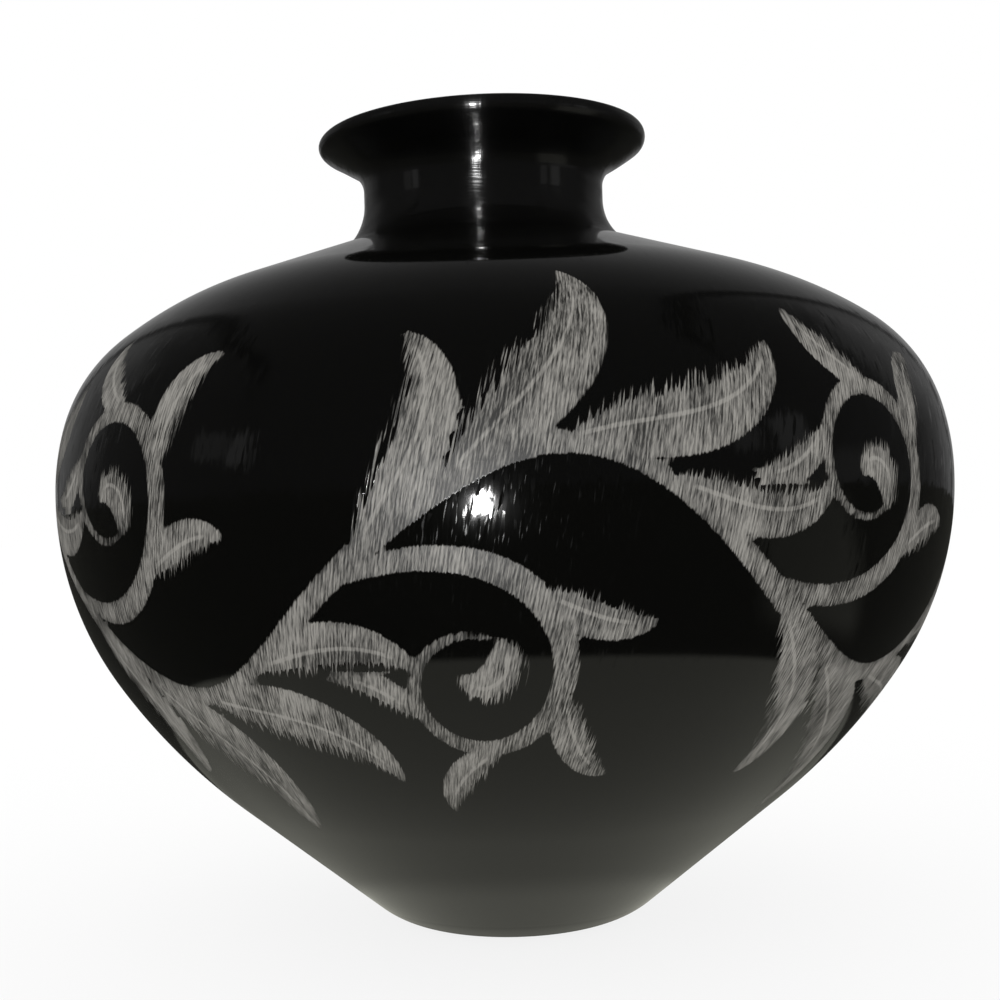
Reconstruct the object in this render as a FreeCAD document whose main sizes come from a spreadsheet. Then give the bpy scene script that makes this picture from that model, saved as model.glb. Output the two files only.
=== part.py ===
import FreeCAD, Part
import Sketcher
import math
import os

# A black burnished clay jar with a wide belly, a short waisted neck and a rolled lip.
# It is thrown in sections on a wheel: a foot ring, a lower bowl, a shoulder dome, a neck
# collar and a lip ring. Each section is set on the one below with a thin coat of slip,
# and a coil is pressed over the inside of the belly seam and of the neck seam.
# Every section is a turned shape about the Z axis. Lengths are in millimetres, angles in
# degrees, and the jar stands on the plane z = 0.

SHEET = "Sizes"

# Driving dimensions of the jar. A "turn" is the direction of the outline as it climbs:
# 0 degrees points outwards, 90 straight up, 180 inwards.
DIMENSIONS = {
    "belly_radius": 150,          # widest radius of the jar
    "belly_height": 146,          # height of the widest point, where the belly seam runs
    "wall": 6.5,                  # thickness of the thrown walls
    "slip_coat": 0.6,             # thickness of the slip in a seam
    "low_belly_arc": 108,         # radius of the outline just below the widest point
    "low_belly_turn": 56,         # turn where that arc hands over to the lower wall
    "low_wall_arc": 196,          # radius of the outline of the lower wall
    "low_wall_turn": 39.3,        # turn of the straight part of the lower wall
    "up_belly_arc": 82,           # radius of the outline just above the widest point
    "up_belly_turn": 106,         # turn where that arc hands over to the shoulder's bend
    "bend_arc": 54,               # radius of the shoulder's bend
    "bend_turn": 142.7,           # turn where the bend hands over to the flat shoulder
    "shoulder_arc": 123,          # radius of the outline of the flat shoulder
    "shoulder_turn": 161.3,       # turn of the straight part of the shoulder
    "seam_rise": 3,               # climb of the belly seam from outside to inside
    "foot_height": 8,             # height of the bowl's cut base above the table
    "foot_top_radius": 49,        # outer radius of the foot ring at its top
    "foot_arc": 30,               # radius of the foot ring's rounded outside
    "foot_bore": 22,              # radius of the hollow inside the foot ring
    "foot_easing": 1.5,           # rounding of the hollow's lower edge
    "slip_setback": 1,            # how far the foot's slip stays back from the hollow
    "floor_thickness": 8,         # thickness of the bowl's floor
    "floor_cove": 15,             # radius where the bowl's floor meets its wall, inside
    "throat_radius": 36.9,        # narrowest radius inside the neck
    "neck_wall": 4.6,             # thickness of the neck's wall
    "neck_cove": 20,              # radius of the neck's outside above the shoulder
    "neck_cove_turn": 45,         # how far that cove turns before it meets the shoulder
    "throat_flare_turn": 29,      # how far the inside of the neck turns at its lower end
    "neck_top": 247.5,            # height of the seam between neck and lip
    "lip_cove": 10,               # radius of the hollow under the lip
    "lip_rise_turn": 31.4,        # turn of the lip's underside
    "lip_bead": 3.2,              # radius of the lip's outer edge
    "lip_bead_centre": 53.5,      # distance of that edge's centre from the axis
    "lip_bead_height": 267,       # height of that edge's centre
    "lip_crown_turn": 164,        # turn where the edge hands over to the lip's crown
    "lip_crown_arc": 21.6,        # radius of the lip's crown
    "coil_reach": 10,             # how far the belly's inner coil reaches from its seam
    "coil_bulge": 14,             # radius of the belly coil's inner face
    "neck_coil_reach": 5,         # how far the neck's inner coil reaches below its seam
    "neck_coil_turn": 12,         # turn on the neck's inside where its coil ends
    "neck_coil_bulge": 14,        # radius of the neck coil's inner face
}


class Size:
    """A number that remembers the sheet expression it was worked out from."""

    def __init__(self, value, text):
        self.value = float(value)
        self.text = text

    def joined(self, sign, other, value):
        return Size(value, f"({self.text} {sign} {as_size(other).text})")

    def __add__(self, other):
        return self.joined("+", other, self.value + as_size(other).value)

    def __sub__(self, other):
        return self.joined("-", other, self.value - as_size(other).value)

    def __mul__(self, other):
        return self.joined("*", other, self.value * as_size(other).value)

    def __truediv__(self, other):
        return self.joined("/", other, self.value / as_size(other).value)


def as_size(number):
    """Give a plain number the form of a Size."""
    return number if isinstance(number, Size) else Size(number, str(number))


def size(name):
    """The driving dimension of that name."""
    return Size(DIMENSIONS[name], f"{SHEET}.{name}")


def sine(angle):
    return Size(math.sin(math.radians(angle.value)), f"sin({angle.text} * 1 deg)")


def cosine(angle):
    return Size(math.cos(math.radians(angle.value)), f"cos({angle.text} * 1 deg)")


def root(square):
    return Size(math.sqrt(square.value), f"sqrt({square.text})")


def at_turn(centre, radius, turn):
    """The point of an arc where the outline runs in the direction of the turn."""
    return centre[0] + radius * sine(turn), centre[1] - radius * cosine(turn)


def across(centre, radius, height):
    """The outer point at a height on a circle about the centre."""
    climb = height - centre[1]
    return centre[0] + root(radius * radius - climb * climb), height


def behind_bulge(bottom, top, radius):
    """The centre, outside the chord, of an arc that bulges inwards from bottom to top."""
    half_x = (top[0] - bottom[0]) / 2
    half_z = (top[1] - bottom[1]) / 2
    half_chord = root(half_x * half_x + half_z * half_z)
    back = root(radius * radius - half_chord * half_chord)
    return (
        bottom[0] + half_x + back * half_z / half_chord,
        bottom[1] + half_z - back * half_x / half_chord,
    )


def make_sheet(document):
    """Put every driving dimension into a cell that has its name as alias."""
    sheet = document.addObject("Spreadsheet::Sheet", SHEET)
    for row, (name, value) in enumerate(DIMENSIONS.items(), start=1):
        sheet.set(f"A{row}", name)
        sheet.set(f"B{row}", str(value))
        sheet.setAlias(f"B{row}", name)
    document.recompute()


def origin_plane(body, role):
    """One of the body's own origin planes."""
    return next(item for item in body.Origin.OriginFeatures if item.Role == role)


def pin_point(sketch, edge, end, point):
    """Tie one end of an edge to its radius and height, both bound to the sheet."""
    axes = (("DistanceX", point[0], -2), ("DistanceY", point[1], -1))
    for kind, distance, axis in axes:
        if distance.value == 0:
            sketch.addConstraint(Sketcher.Constraint("PointOnObject", edge, end, axis))
            continue
        place = Sketcher.Constraint(kind, -1, 1, edge, end, distance.value)
        index = sketch.addConstraint(place)
        sketch.setExpression(f"Constraints[{index}]", distance.text)


def draw(body, name, start, steps):
    """Draw a closed outline of lines and arcs on the body's XZ plane.

    A step is the point that it reaches, and for an arc its centre and radius too.
    An outline that doesn't end at its start closes with a straight line.
    """
    sketch = body.newObject("Sketcher::SketchObject", name)
    sketch.AttachmentSupport = [(origin_plane(body, "XZ_Plane"), "")]
    sketch.MapMode = "FlatFace"
    first_end = last_end = None
    here = start
    closing = [] if steps[-1][0] is start else [(start,)]
    for step in steps + closing:
        point = step[0]
        a = FreeCAD.Vector(here[0].value, here[1].value, 0)
        b = FreeCAD.Vector(point[0].value, point[1].value, 0)
        ends = (1, 2)
        if len(step) == 1:
            edge = sketch.addGeometry(Part.LineSegment(a, b), False)
        else:
            centre, radius = step[1:]
            middle = FreeCAD.Vector(centre[0].value, centre[1].value, 0)
            begin, finish = (math.atan2(p.y - middle.y, p.x - middle.x) for p in (a, b))
            if (finish - begin) % (2 * math.pi) > math.pi:
                begin, finish = finish, begin
                ends = (2, 1)
            sweep = (finish - begin) % (2 * math.pi)
            circle = Part.Circle(middle, FreeCAD.Vector(0, 0, 1), radius.value)
            arc = Part.ArcOfCircle(circle, begin, begin + sweep)
            edge = sketch.addGeometry(arc, False)
            bend = sketch.addConstraint(Sketcher.Constraint("Radius", edge, radius.value))
            sketch.setExpression(f"Constraints[{bend}]", radius.text)
        if last_end:
            join = Sketcher.Constraint("Coincident", *last_end, edge, ends[0])
            sketch.addConstraint(join)
        else:
            first_end = (edge, ends[0])
        pin_point(sketch, edge, ends[0], here)
        last_end = (edge, ends[1])
        here = point
    sketch.addConstraint(Sketcher.Constraint("Coincident", *last_end, *first_end))
    return sketch


def turned(document, label, start, steps):
    """A body turned about the Z axis from one closed outline."""
    body = document.addObject("PartDesign::Body", label)
    body.Label = label
    sketch = draw(body, f"{label}_outline", start, steps)
    turning = body.newObject("PartDesign::Revolution", f"{label}_turning")
    turning.Profile = sketch
    turning.ReferenceAxis = (sketch, ["V_Axis"])
    turning.Angle = 360
    return body


def round_edge(document, body, name, radius, height, rounding):
    """Round the circular edge that has this radius and height."""
    document.recompute()
    base = body.Tip
    for number, edge in enumerate(base.Shape.Edges, start=1):
        curve = edge.Curve
        if not isinstance(curve, Part.Circle):
            continue
        off = abs(curve.Radius - radius.value) + abs(curve.Center.z - height.value)
        if off < 1e-4:
            break
    else:
        raise ValueError(f"{body.Label} has no edge for {name}")
    easing = body.newObject("PartDesign::Fillet", name)
    easing.Base = (base, [f"Edge{number}"])
    easing.setExpression("Radius", rounding.text)


ZERO = Size(0, "0")
WALL = size("wall")
SLIP = size("slip_coat")
BELLY_HEIGHT = size("belly_height")
FOOT_HEIGHT = size("foot_height")

# Centres of the arcs below the belly seam. Neighbouring arcs are tangent, so each centre
# lies on the line through the last centre and the point where the arcs meet.
LOW_BELLY_ARC = size("low_belly_arc")
LOW_BELLY_TURN = size("low_belly_turn")
LOW_WALL_ARC = size("low_wall_arc")
LOW_WALL_TURN = size("low_wall_turn")
LOW_BELLY_CENTRE = (size("belly_radius") - LOW_BELLY_ARC, BELLY_HEIGHT)
LOW_WALL_CENTRE = at_turn(LOW_BELLY_CENTRE, LOW_BELLY_ARC - LOW_WALL_ARC, LOW_BELLY_TURN)

# Centres of the arcs above the belly seam, in the same way.
UP_BELLY_ARC = size("up_belly_arc")
UP_BELLY_TURN = size("up_belly_turn")
BEND_ARC = size("bend_arc")
BEND_TURN = size("bend_turn")
SHOULDER_ARC = size("shoulder_arc")
SHOULDER_TURN = size("shoulder_turn")
UP_BELLY_CENTRE = (size("belly_radius") - UP_BELLY_ARC, BELLY_HEIGHT + SLIP)
BEND_CENTRE = at_turn(UP_BELLY_CENTRE, UP_BELLY_ARC - BEND_ARC, UP_BELLY_TURN)
SHOULDER_CENTRE = at_turn(BEND_CENTRE, BEND_ARC - SHOULDER_ARC, BEND_TURN)
SHOULDER_TOP = at_turn(SHOULDER_CENTRE, SHOULDER_ARC, SHOULDER_TURN)
SHOULDER_TOP_INSIDE = at_turn(SHOULDER_CENTRE, SHOULDER_ARC - WALL, SHOULDER_TURN)
SHOULDER_FALL = sine(SHOULDER_TURN) / cosine(SHOULDER_TURN)

# The four corners where the belly seam's slip meets the two thrown halves.
INNER_LOW_ARC = LOW_BELLY_ARC - WALL
INNER_UP_ARC = UP_BELLY_ARC - WALL
SEAM_RISE = size("seam_rise")
SEAM_LOW_OUT = (size("belly_radius"), BELLY_HEIGHT)
SEAM_UP_OUT = (size("belly_radius"), BELLY_HEIGHT + SLIP)
SEAM_LOW_IN = across(LOW_BELLY_CENTRE, INNER_LOW_ARC, BELLY_HEIGHT + SEAM_RISE)
SEAM_UP_IN = across(UP_BELLY_CENTRE, INNER_UP_ARC, BELLY_HEIGHT + SLIP + SEAM_RISE)

# The neck. Its cove is tangent to the straight neck above and stops at the shoulder.
THROAT = size("throat_radius")
NECK_RADIUS = THROAT + size("neck_wall")
NECK_TOP = size("neck_top")
NECK_COVE = size("neck_cove")
NECK_COVE_TURN = size("neck_cove_turn")
THROAT_FLARE = NECK_COVE + size("neck_wall")
THROAT_FLARE_TURN = size("throat_flare_turn")
NECK_FOOT_RADIUS = NECK_RADIUS + NECK_COVE - NECK_COVE * cosine(NECK_COVE_TURN)
DOME_HOLE = THROAT + THROAT_FLARE - THROAT_FLARE * cosine(THROAT_FLARE_TURN)


def shoulder_at(radius, lift=ZERO):
    """The point of the shoulder's straight slope at a radius, lifted by the slip."""
    return radius, SHOULDER_TOP[1] + (radius - SHOULDER_TOP[0]) * SHOULDER_FALL + lift


NECK_FOOT_OUT = shoulder_at(NECK_FOOT_RADIUS, SLIP)
NECK_FOOT_IN = shoulder_at(DOME_HOLE, SLIP)
NECK_COVE_CENTRE = (
    NECK_RADIUS + NECK_COVE,
    NECK_FOOT_OUT[1] + NECK_COVE * sine(NECK_COVE_TURN),
)
THROAT_FLARE_CENTRE = (
    THROAT + THROAT_FLARE,
    NECK_FOOT_IN[1] + THROAT_FLARE * sine(THROAT_FLARE_TURN),
)


def throat_flare_at(turn):
    """The point on the neck's inside where it has flared by this turn."""
    return (
        THROAT_FLARE_CENTRE[0] - THROAT_FLARE * cosine(turn),
        THROAT_FLARE_CENTRE[1] - THROAT_FLARE * sine(turn),
    )


def make_foot_ring(document):
    """A turned ring with a rounded outside, bored through its middle."""
    top = FOOT_HEIGHT - SLIP
    rim = (size("foot_top_radius"), top)
    arc = size("foot_arc")
    drop = arc - top
    flat_edge = rim[0] - root(arc * arc - drop * drop)
    body = turned(document, "foot_ring", (ZERO, ZERO), [
        ((flat_edge, ZERO),),
        (rim, (flat_edge, arc), arc),
        ((ZERO, top),),
    ])
    bore = size("foot_bore")
    hollow = draw(body, "foot_ring_hollow", (ZERO, ZERO), [
        ((bore, ZERO),),
        ((bore, top),),
        ((ZERO, top),),
    ])
    boring = body.newObject("PartDesign::Groove", "foot_ring_boring")
    boring.Profile = hollow
    boring.ReferenceAxis = (hollow, ["V_Axis"])
    boring.Angle = 360
    round_edge(document, body, "foot_ring_easing", bore, ZERO, size("foot_easing"))


def make_foot_slip(document):
    """A flat washer of slip between the foot ring and the bowl's cut base."""
    inside = size("foot_bore") + size("slip_setback")
    outside = size("foot_top_radius")
    turned(document, "foot_slip", (inside, FOOT_HEIGHT - SLIP), [
        ((outside, FOOT_HEIGHT - SLIP),),
        ((outside, FOOT_HEIGHT),),
        ((inside, FOOT_HEIGHT),),
    ])


def make_lower_bowl(document):
    """The lower half: a flat floor, a straight rising wall and the curve to the belly."""
    slope = cosine(LOW_WALL_TURN) / sine(LOW_WALL_TURN)
    floor = FOOT_HEIGHT + size("floor_thickness")
    outer_foot = at_turn(LOW_WALL_CENTRE, LOW_WALL_ARC, LOW_WALL_TURN)
    inner_foot = at_turn(LOW_WALL_CENTRE, LOW_WALL_ARC - WALL, LOW_WALL_TURN)
    base_edge = (outer_foot[0] - (outer_foot[1] - FOOT_HEIGHT) * slope, FOOT_HEIGHT)
    floor_edge = (inner_foot[0] - (inner_foot[1] - floor) * slope, floor)
    body = turned(document, "lower_bowl", (ZERO, FOOT_HEIGHT), [
        (base_edge,),
        (outer_foot,),
        (at_turn(LOW_BELLY_CENTRE, LOW_BELLY_ARC, LOW_BELLY_TURN),
         LOW_WALL_CENTRE, LOW_WALL_ARC),
        (SEAM_LOW_OUT, LOW_BELLY_CENTRE, LOW_BELLY_ARC),
        (SEAM_LOW_IN,),
        (at_turn(LOW_BELLY_CENTRE, INNER_LOW_ARC, LOW_BELLY_TURN),
         LOW_BELLY_CENTRE, INNER_LOW_ARC),
        (inner_foot, LOW_WALL_CENTRE, LOW_WALL_ARC - WALL),
        (floor_edge,),
        ((ZERO, floor),),
    ])
    cove = size("floor_cove")
    round_edge(document, body, "lower_bowl_cove", floor_edge[0], floor, cove)


def make_belly_slip(document):
    """The slip in the bevelled belly seam."""
    turned(document, "belly_slip", SEAM_LOW_OUT, [
        (SEAM_UP_OUT,),
        (SEAM_UP_IN,),
        (SEAM_LOW_IN,),
    ])


def make_belly_coil(document):
    """A coil pressed over the inside of the belly seam, with a rounded inner face."""
    reach = size("coil_reach")
    bottom = across(LOW_BELLY_CENTRE, INNER_LOW_ARC, SEAM_LOW_IN[1] - reach)
    top = across(UP_BELLY_CENTRE, INNER_UP_ARC, SEAM_UP_IN[1] + reach)
    bulge = size("coil_bulge")
    centre = behind_bulge(bottom, top, bulge)
    turned(document, "belly_seam_coil", bottom, [
        (SEAM_LOW_IN, LOW_BELLY_CENTRE, INNER_LOW_ARC),
        (SEAM_UP_IN,),
        (top, UP_BELLY_CENTRE, INNER_UP_ARC),
        (bottom, centre, bulge),
    ])


def make_shoulder_dome(document):
    """The upper half: belly, bend and flat shoulder, with a hole for the neck."""
    hole_top = shoulder_at(DOME_HOLE)
    hole_bottom = (
        DOME_HOLE,
        SHOULDER_TOP_INSIDE[1] + (DOME_HOLE - SHOULDER_TOP_INSIDE[0]) * SHOULDER_FALL,
    )
    turned(document, "shoulder_dome", SEAM_UP_OUT, [
        (at_turn(UP_BELLY_CENTRE, UP_BELLY_ARC, UP_BELLY_TURN),
         UP_BELLY_CENTRE, UP_BELLY_ARC),
        (at_turn(BEND_CENTRE, BEND_ARC, BEND_TURN), BEND_CENTRE, BEND_ARC),
        (SHOULDER_TOP, SHOULDER_CENTRE, SHOULDER_ARC),
        (hole_top,),
        (hole_bottom,),
        (SHOULDER_TOP_INSIDE,),
        (at_turn(BEND_CENTRE, BEND_ARC - WALL, BEND_TURN),
         SHOULDER_CENTRE, SHOULDER_ARC - WALL),
        (at_turn(UP_BELLY_CENTRE, INNER_UP_ARC, UP_BELLY_TURN),
         BEND_CENTRE, BEND_ARC - WALL),
        (SEAM_UP_IN, UP_BELLY_CENTRE, INNER_UP_ARC),
    ])


def make_neck_slip(document):
    """The slip between the shoulder's slope and the neck's foot."""
    turned(document, "neck_slip", shoulder_at(DOME_HOLE), [
        (shoulder_at(NECK_FOOT_RADIUS),),
        (NECK_FOOT_OUT,),
        (NECK_FOOT_IN,),
    ])


def make_neck_collar(document):
    """The waisted neck, flared at its foot to sit on the shoulder."""
    turned(document, "neck_collar", NECK_FOOT_OUT, [
        ((NECK_RADIUS, NECK_COVE_CENTRE[1]), NECK_COVE_CENTRE, NECK_COVE),
        ((NECK_RADIUS, NECK_TOP),),
        ((THROAT, NECK_TOP),),
        ((THROAT, THROAT_FLARE_CENTRE[1]),),
        (NECK_FOOT_IN, THROAT_FLARE_CENTRE, THROAT_FLARE),
    ])


def make_neck_coil(document):
    """A small coil pressed over the inside of the neck seam."""
    bottom = (DOME_HOLE, shoulder_at(DOME_HOLE)[1] - size("neck_coil_reach"))
    top = throat_flare_at(size("neck_coil_turn"))
    bulge = size("neck_coil_bulge")
    centre = behind_bulge(bottom, top, bulge)
    turned(document, "neck_seam_coil", bottom, [
        (NECK_FOOT_IN,),
        (top, THROAT_FLARE_CENTRE, THROAT_FLARE),
        (bottom, centre, bulge),
    ])


def make_lip_slip(document):
    """A flat washer of slip between the neck and the lip."""
    turned(document, "lip_slip", (THROAT, NECK_TOP), [
        ((NECK_RADIUS, NECK_TOP),),
        ((NECK_RADIUS, NECK_TOP + SLIP),),
        ((THROAT, NECK_TOP + SLIP),),
    ])


def make_lip_ring(document):
    """The rolled lip: a hollow under it, a rounded edge, a crown and the throat's mouth."""
    base = NECK_TOP + SLIP
    cove = size("lip_cove")
    rise = size("lip_rise_turn")
    bead = size("lip_bead")
    bead_centre = (size("lip_bead_centre"), size("lip_bead_height"))
    bead_start = at_turn(bead_centre, bead, rise)
    cove_out = NECK_RADIUS + cove - cove * sine(rise)
    fall = sine(rise) / cosine(rise)
    cove_end = (cove_out, bead_start[1] - (bead_start[0] - cove_out) * fall)
    cove_centre = (NECK_RADIUS + cove, cove_end[1] - cove * cosine(rise))
    crown_turn = size("lip_crown_turn")
    crown = size("lip_crown_arc")
    crown_centre = at_turn(bead_centre, bead - crown, crown_turn)
    crest = (crown_centre[0], crown_centre[1] + crown)
    mouth = crest[0] - THROAT
    mouth_centre = (crest[0], crest[1] - mouth)
    turned(document, "lip_ring", (THROAT, base), [
        ((NECK_RADIUS, base),),
        ((NECK_RADIUS, cove_centre[1]),),
        (cove_end, cove_centre, cove),
        (bead_start,),
        (at_turn(bead_centre, bead, crown_turn), bead_centre, bead),
        (crest, crown_centre, crown),
        ((THROAT, mouth_centre[1]), mouth_centre, mouth),
    ])


def check(document):
    """Stop if any object failed or any sub-part isn't a valid single solid."""
    for item in document.Objects:
        if "Invalid" in item.State or "Error" in item.State:
            raise RuntimeError(f"{item.Label}: {item.State}")
    bodies = [item for item in document.Objects if item.TypeId == "PartDesign::Body"]
    for body in bodies:
        shape = body.Shape
        if shape.isNull() or not shape.isValid() or len(shape.Solids) != 1:
            raise RuntimeError(f"{body.Label} is not one valid solid")
    return bodies


def main():
    os.makedirs("parts", exist_ok=True)
    document = FreeCAD.newDocument("hydria_jar")
    make_sheet(document)
    make_foot_ring(document)
    make_foot_slip(document)
    make_lower_bowl(document)
    make_belly_slip(document)
    make_belly_coil(document)
    make_shoulder_dome(document)
    make_neck_slip(document)
    make_neck_collar(document)
    make_neck_coil(document)
    make_lip_slip(document)
    make_lip_ring(document)
    document.recompute()
    for body in check(document):
        body.Shape.exportStep(f"parts/{body.Label}.step")
        box = body.Shape.optimalBoundingBox()
        print(f"{body.Label}: z {box.ZMin:.2f} to {box.ZMax:.2f}, "
              f"radius {box.XMax:.2f}, volume {body.Shape.Volume:.0f}")


main()
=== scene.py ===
import math

import bpy
import numpy as np
from mathutils import Matrix, Vector


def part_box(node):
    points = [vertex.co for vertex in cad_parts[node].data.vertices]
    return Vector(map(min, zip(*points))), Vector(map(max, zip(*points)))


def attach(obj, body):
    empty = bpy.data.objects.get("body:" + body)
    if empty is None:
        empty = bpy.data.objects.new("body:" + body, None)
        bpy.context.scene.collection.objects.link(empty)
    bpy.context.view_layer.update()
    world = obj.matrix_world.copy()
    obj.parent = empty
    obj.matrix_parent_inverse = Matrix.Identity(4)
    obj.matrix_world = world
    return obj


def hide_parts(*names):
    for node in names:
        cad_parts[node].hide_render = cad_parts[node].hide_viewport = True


# A black burnished clay jar with a scratched leaf scroll, on a pale studio floor.
# Lengths are in metres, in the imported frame: +Z up, the decorated front faces -Y.
# A "turn" is the direction of an outline as it climbs: 0 degrees points outwards,
# 90 straight up, 180 inwards.

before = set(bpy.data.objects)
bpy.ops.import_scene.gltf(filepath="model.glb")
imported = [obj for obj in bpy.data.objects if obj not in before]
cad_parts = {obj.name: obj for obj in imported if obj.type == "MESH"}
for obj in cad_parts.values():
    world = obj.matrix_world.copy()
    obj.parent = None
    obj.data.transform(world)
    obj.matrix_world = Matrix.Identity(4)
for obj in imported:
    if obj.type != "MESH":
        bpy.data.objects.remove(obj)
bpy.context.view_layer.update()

MM = 0.001
ROUND = 2 * math.pi

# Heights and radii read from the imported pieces
BELLY_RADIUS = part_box("lower_bowl")[1].x
BELLY_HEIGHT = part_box("belly_slip")[0].z
FOOT_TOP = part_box("foot_ring")[1].z
BOWL_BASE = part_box("lower_bowl")[0].z
NECK_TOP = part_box("lip_slip")[0].z
LIP_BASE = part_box("lip_slip")[1].z
FOOT_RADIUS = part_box("foot_ring")[1].x
NECK_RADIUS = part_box("lip_slip")[1].x

# The walls
WALL = 6.5 * MM
SLIP = LIP_BASE - NECK_TOP
SEAM_RISE = 3 * MM
FLOOR_THICKNESS = 8 * MM
FLOOR_COVE = 15 * MM
FOOT_BORE = 22 * MM
FOOT_EASING = 1.5 * MM
FOOT_ARC = 30 * MM
SLIP_SETBACK = 1 * MM

# The outline below the belly seam
LOW_BELLY_ARC, LOW_BELLY_TURN = 108 * MM, 56
LOW_WALL_ARC, LOW_WALL_TURN = 196 * MM, 39.3

# The outline above the belly seam
UP_BELLY_ARC, UP_BELLY_TURN = 82 * MM, 106
BEND_ARC, BEND_TURN = 54 * MM, 142.7
SHOULDER_ARC, SHOULDER_TURN = 123 * MM, 161.3

# The neck and the lip
NECK_WALL = 4.6 * MM
NECK_COVE, NECK_COVE_TURN = 20 * MM, 45
THROAT_FLARE_TURN = 29
LIP_COVE, LIP_RISE_TURN = 10 * MM, 31.4
LIP_BEAD = 3.2 * MM
LIP_BEAD_CENTRE = (53.5 * MM, 267 * MM)
LIP_CROWN_ARC, LIP_CROWN_TURN = 21.6 * MM, 164
NECK_COIL_REACH, NECK_COIL_TURN, NECK_COIL_BULGE = 5 * MM, 12, 14 * MM


def sine(turn):
    """Sine of a turn in degrees."""
    return math.sin(math.radians(turn))


def cosine(turn):
    """Cosine of a turn in degrees."""
    return math.cos(math.radians(turn))


def at_turn(centre, radius, turn):
    """The point of an arc where the outline runs in the direction of the turn."""
    return centre[0] + radius * sine(turn), centre[1] - radius * cosine(turn)


def across(centre, radius, height):
    """The outer point at a height on a circle about the centre."""
    return centre[0] + math.sqrt(radius**2 - (height - centre[1]) ** 2), height


# Centres of the tangent arcs, and the corners where the sections of the jar meet
LOW_BELLY_CENTRE = (BELLY_RADIUS - LOW_BELLY_ARC, BELLY_HEIGHT)
LOW_WALL_CENTRE = at_turn(LOW_BELLY_CENTRE, LOW_BELLY_ARC - LOW_WALL_ARC, LOW_BELLY_TURN)
UP_BELLY_CENTRE = (BELLY_RADIUS - UP_BELLY_ARC, BELLY_HEIGHT + SLIP)
BEND_CENTRE = at_turn(UP_BELLY_CENTRE, UP_BELLY_ARC - BEND_ARC, UP_BELLY_TURN)
SHOULDER_CENTRE = at_turn(BEND_CENTRE, BEND_ARC - SHOULDER_ARC, BEND_TURN)
SHOULDER_TOP = at_turn(SHOULDER_CENTRE, SHOULDER_ARC, SHOULDER_TURN)
SHOULDER_FALL = sine(SHOULDER_TURN) / cosine(SHOULDER_TURN)
SEAM_LOW_OUT = (BELLY_RADIUS, BELLY_HEIGHT)
SEAM_UP_OUT = (BELLY_RADIUS, BELLY_HEIGHT + SLIP)
SEAM_LOW_IN = across(LOW_BELLY_CENTRE, LOW_BELLY_ARC - WALL, BELLY_HEIGHT + SEAM_RISE)
SEAM_UP_IN = across(UP_BELLY_CENTRE, UP_BELLY_ARC - WALL, BELLY_HEIGHT + SLIP + SEAM_RISE)
THROAT = NECK_RADIUS - NECK_WALL
THROAT_FLARE = NECK_COVE + NECK_WALL
NECK_FOOT_RADIUS = NECK_RADIUS + NECK_COVE * (1 - cosine(NECK_COVE_TURN))
DOME_HOLE = THROAT + THROAT_FLARE * (1 - cosine(THROAT_FLARE_TURN))


def shoulder_at(radius, lift=0.0):
    """The point of the shoulder's straight slope at a radius, lifted by the slip."""
    return radius, SHOULDER_TOP[1] + (radius - SHOULDER_TOP[0]) * SHOULDER_FALL + lift


NECK_FOOT_OUT = shoulder_at(NECK_FOOT_RADIUS, SLIP)
NECK_FOOT_IN = shoulder_at(DOME_HOLE, SLIP)
NECK_COVE_CENTRE = (
    NECK_RADIUS + NECK_COVE,
    NECK_FOOT_OUT[1] + NECK_COVE * sine(NECK_COVE_TURN),
)
THROAT_FLARE_CENTRE = (
    THROAT + THROAT_FLARE,
    NECK_FOOT_IN[1] + THROAT_FLARE * sine(THROAT_FLARE_TURN),
)

# Lengths up the jar's outside, counted from the belly seam
LOW_WALL_FOOT = at_turn(LOW_WALL_CENTRE, LOW_WALL_ARC, LOW_WALL_TURN)
LOW_WALL_SLOPE = cosine(LOW_WALL_TURN) / sine(LOW_WALL_TURN)
BOWL_EDGE = (LOW_WALL_FOOT[0] - (LOW_WALL_FOOT[1] - BOWL_BASE) * LOW_WALL_SLOPE, BOWL_BASE)
FOOT_ALONG = -(
    LOW_BELLY_ARC * math.radians(90 - LOW_BELLY_TURN)
    + LOW_WALL_ARC * math.radians(LOW_BELLY_TURN - LOW_WALL_TURN)
    + (LOW_WALL_FOOT[1] - BOWL_BASE) / sine(LOW_WALL_TURN)
)
NECK_ALONG = (
    SLIP
    + UP_BELLY_ARC * math.radians(UP_BELLY_TURN - 90)
    + BEND_ARC * math.radians(BEND_TURN - UP_BELLY_TURN)
    + SHOULDER_ARC * math.radians(SHOULDER_TURN - BEND_TURN)
    + (NECK_FOOT_RADIUS - SHOULDER_TOP[0]) / cosine(SHOULDER_TURN)
)
NECK_TOP_ALONG = (
    NECK_ALONG + NECK_COVE * math.radians(NECK_COVE_TURN) + NECK_TOP - NECK_COVE_CENTRE[1]
)

# How a hand-thrown jar strays from a true turning
# An uneven step is its size and the heights where it begins and is full.
LEAN = (-4.5 * MM, 195 * MM, 240 * MM)            # the neck stands this far to the side
SHOULDER_SAG = (-0.46 * MM, 180 * MM, 215 * MM)   # the shoulder has sunk under it
LIP_SAG = (-0.6 * MM, 250 * MM, 262 * MM)         # and the lip sits low on it
LIP_TILT = (math.radians(1.26), 260.5 * MM, 272.5 * MM)   # its right side turns up
WOBBLE = 0.08 * MM        # depth of the slow unevenness of the walls

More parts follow.
